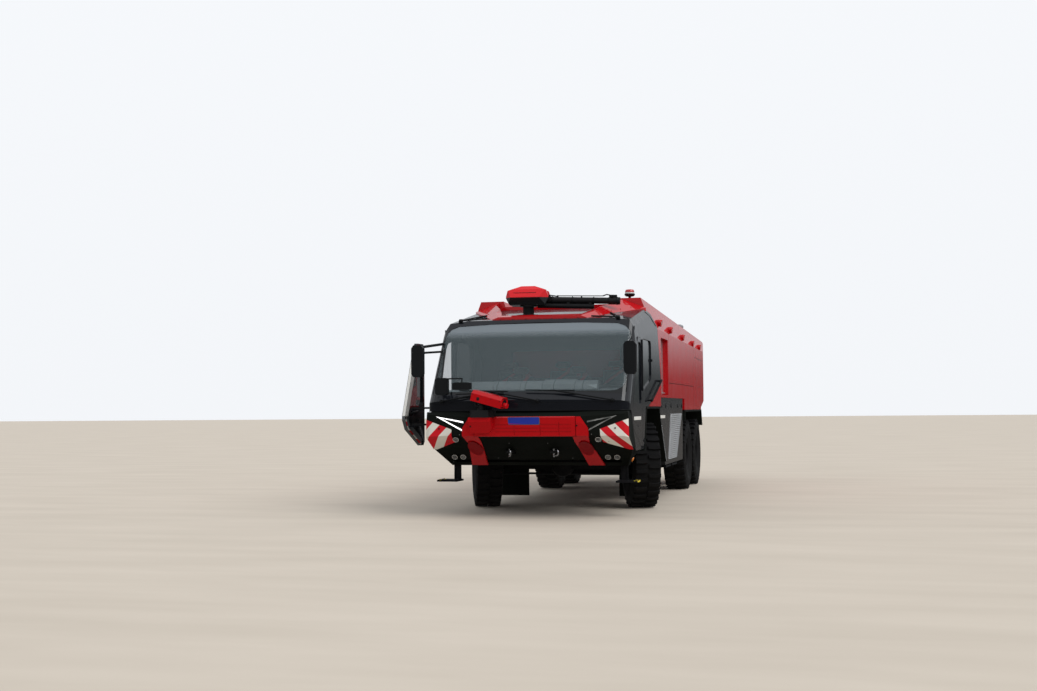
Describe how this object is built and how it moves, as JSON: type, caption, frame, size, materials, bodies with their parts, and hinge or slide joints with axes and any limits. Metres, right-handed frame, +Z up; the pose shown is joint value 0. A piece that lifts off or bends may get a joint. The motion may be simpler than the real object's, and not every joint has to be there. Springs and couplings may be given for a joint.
{
  "type": "airport fire truck",
  "caption": "Airport fire truck: hollow cab with swing-out doors, steered front axle, tandem rear axles, roof turret, bumper monitor.",
  "frame": {"origin": "on the ground under the middle of the whole truck, with its right door open as in the picture", "axes": "+Z up, the nose faces -Y, +X is the truck's left side"},
  "size_m": [3.8222, 11.566, 3.478],
  "materials": {
    "red": "gloss",
    "black_paint": "gloss",
    "dark_metal": "satin",
    "moulding": "satin",
    "alloy": "satin",
    "glass": "clear",
    "lens": "clear",
    "red_lens": "clear",
    "tyre": "matte",
    "trim_plastic": "matte",
    "fabric": "woven",
    "board": "satin",
    "iron": "rough"
  },
  "bodies": {
    "root": {"chassis_frame": "dark_metal", "axles": "iron", "suspension": "dark_metal", "drive_line": "dark_metal", "engine_block": "iron", "cab_frame": "black_paint", "cab_sides": "black_paint", "cab_floor": "black_paint", "cab_back": "black_paint", "cab_roof": "black_paint", "nose_panel": "black_paint", "windscreen": "glass", "cab_glass": "glass", "dashboard": "trim_plastic", "steering_wheel": "moulding", "seats": "fabric", "front_bumper": "moulding", "bumper_trim": "red", "hazard_boards": "board", "front_lamps": "lens", "roof_visor": "red", "mirrors": "moulding", "wipers": "moulding", "body_shell": "red", "roller_shutters": "alloy", "side_lockers": "black_paint", "side_grilles": "alloy", "fenders": "moulding", "steps": "alloy", "scene_lights": "red", "tail_panel": "moulding", "tail_lamps": "red_lens", "roof_fittings": "alloy", "turret_base": "dark_metal", "monitor_base": "dark_metal"},
    "turret_head": {"turret_head": "red"},
    "turret_barrel": {"turret_barrel": "dark_metal"},
    "monitor_head": {"monitor_head": "dark_metal"},
    "monitor_barrel": {"monitor_barrel": "red"},
    "tie_rod": {"tie_rod": "dark_metal"},
    "knuckle_left": {"knuckle_left": "iron"},
    "knuckle_right": {"knuckle_right": "iron"},
    "door_left": {"door_left": "black_paint", "door_glass_left": "glass"},
    "door_right": {"door_right": "black_paint", "door_glass_right": "glass"},
    "door_arms_left": {"door_arms_left": "dark_metal"},
    "door_arms_right": {"door_arms_right": "dark_metal"},
    "wheel_1_left": {"tyre_1_left": "tyre", "rim_1_left": "iron"},
    "wheel_1_right": {"tyre_1_right": "tyre", "rim_1_right": "iron"},
    "wheel_2_left": {"tyre_2_left": "tyre", "rim_2_left": "iron"},
    "wheel_2_right": {"tyre_2_right": "tyre", "rim_2_right": "iron"},
    "wheel_3_left": {"tyre_3_left": "tyre", "rim_3_left": "iron"},
    "wheel_3_right": {"tyre_3_right": "tyre", "rim_3_right": "iron"}
  },
  "joints": [
    {"name": "steer_left", "type": "hinge", "parent": "root", "child": "knuckle_left", "pos_m": [1.29503, -2.88702, 0.67], "axis": [0, 0, 1], "range_deg": [-54.5, 15.5]},
    {"name": "steer_right", "type": "hinge", "parent": "root", "child": "knuckle_right", "pos_m": [-0.79497, -2.88702, 0.67], "axis": [0, 0, 1], "range_deg": [-54.5, 15.5]},
    {"name": "tie_rod_swing", "type": "hinge", "parent": "knuckle_left", "child": "tie_rod", "pos_m": [1.2266, -2.69378, 0.52], "axis": [0, 0, 1], "range_deg": [-15.5, 54.5]},
    {"name": "spin_1_left", "type": "hinge", "parent": "knuckle_left", "child": "wheel_1_left", "pos_m": [1.49959, -2.81459, 0.67], "axis": [0.9426, 0.3338, 0], "continuous": true},
    {"name": "spin_1_right", "type": "hinge", "parent": "knuckle_right", "child": "wheel_1_right", "pos_m": [-0.99952, -2.95946, 0.67], "axis": [0.9426, 0.3338, 0], "continuous": true},
    {"name": "spin_2_left", "type": "hinge", "parent": "root", "child": "wheel_2_left", "pos_m": [1.51204, 1.89298, 0.67], "axis": [1, 0, 0], "continuous": true},
    {"name": "spin_2_right", "type": "hinge", "parent": "root", "child": "wheel_2_right", "pos_m": [-1.01197, 1.89298, 0.67], "axis": [1, 0, 0], "continuous": true},
    {"name": "spin_3_left", "type": "hinge", "parent": "root", "child": "wheel_3_left", "pos_m": [1.51204, 3.51297, 0.67], "axis": [1, 0, 0], "continuous": true},
    {"name": "spin_3_right", "type": "hinge", "parent": "root", "child": "wheel_3_right", "pos_m": [-1.01197, 3.51297, 0.67], "axis": [1, 0, 0], "continuous": true},
    {"name": "door_swing_left", "type": "hinge", "parent": "root", "child": "door_arms_left", "pos_m": [1.63504, -4.15203, 1.3], "axis": [0, 0, 1], "range_deg": [0, 75]},
    {"name": "door_carry_left", "type": "hinge", "parent": "door_arms_left", "child": "door_left", "pos_m": [1.63504, -4.85203, 1.3], "axis": [0, 0, 1], "range_deg": [-75, 0]},
    {"name": "door_swing_right", "type": "hinge", "parent": "root", "child": "door_arms_right", "pos_m": [-1.13497, -4.15203, 1.3], "axis": [0, 0, 1], "range_deg": [0, 75]},
    {"name": "door_carry_right", "type": "hinge", "parent": "door_arms_right", "child": "door_right", "pos_m": [-1.81111, -4.3332, 1.3], "axis": [0, 0, 1], "range_deg": [-75, 0]},
    {"name": "turret_turn", "type": "hinge", "parent": "root", "child": "turret_head", "pos_m": [-0.07497, -3.81703, 3.159], "axis": [0, 0, 1], "range_deg": [-180, 0]},
    {"name": "turret_lift", "type": "hinge", "parent": "turret_head", "child": "turret_barrel", "pos_m": [0.05454, -3.8057, 3.269], "axis": [-0.0872, 0.9962, 0], "range_deg": [-75, 0]},
    {"name": "monitor_turn", "type": "hinge", "parent": "root", "child": "monitor_head", "pos_m": [-0.34997, -5.59202, 1.6], "axis": [0, 0, 1], "range_deg": [-165, 15]},
    {"name": "monitor_lift", "type": "hinge", "parent": "monitor_head", "child": "monitor_barrel", "pos_m": [-0.34997, -5.59202, 1.72], "axis": [0.2588, 0.9659, 0], "range_deg": [-74, 1]}
  ],
  "couplings": [
    {"joint": "steer_right", "follows": "steer_left", "ratio": 1},
    {"joint": "tie_rod_swing", "follows": "steer_left", "ratio": -1},
    {"joint": "door_carry_left", "follows": "door_swing_left", "ratio": -1},
    {"joint": "door_carry_right", "follows": "door_swing_right", "ratio": -1}
  ]
}
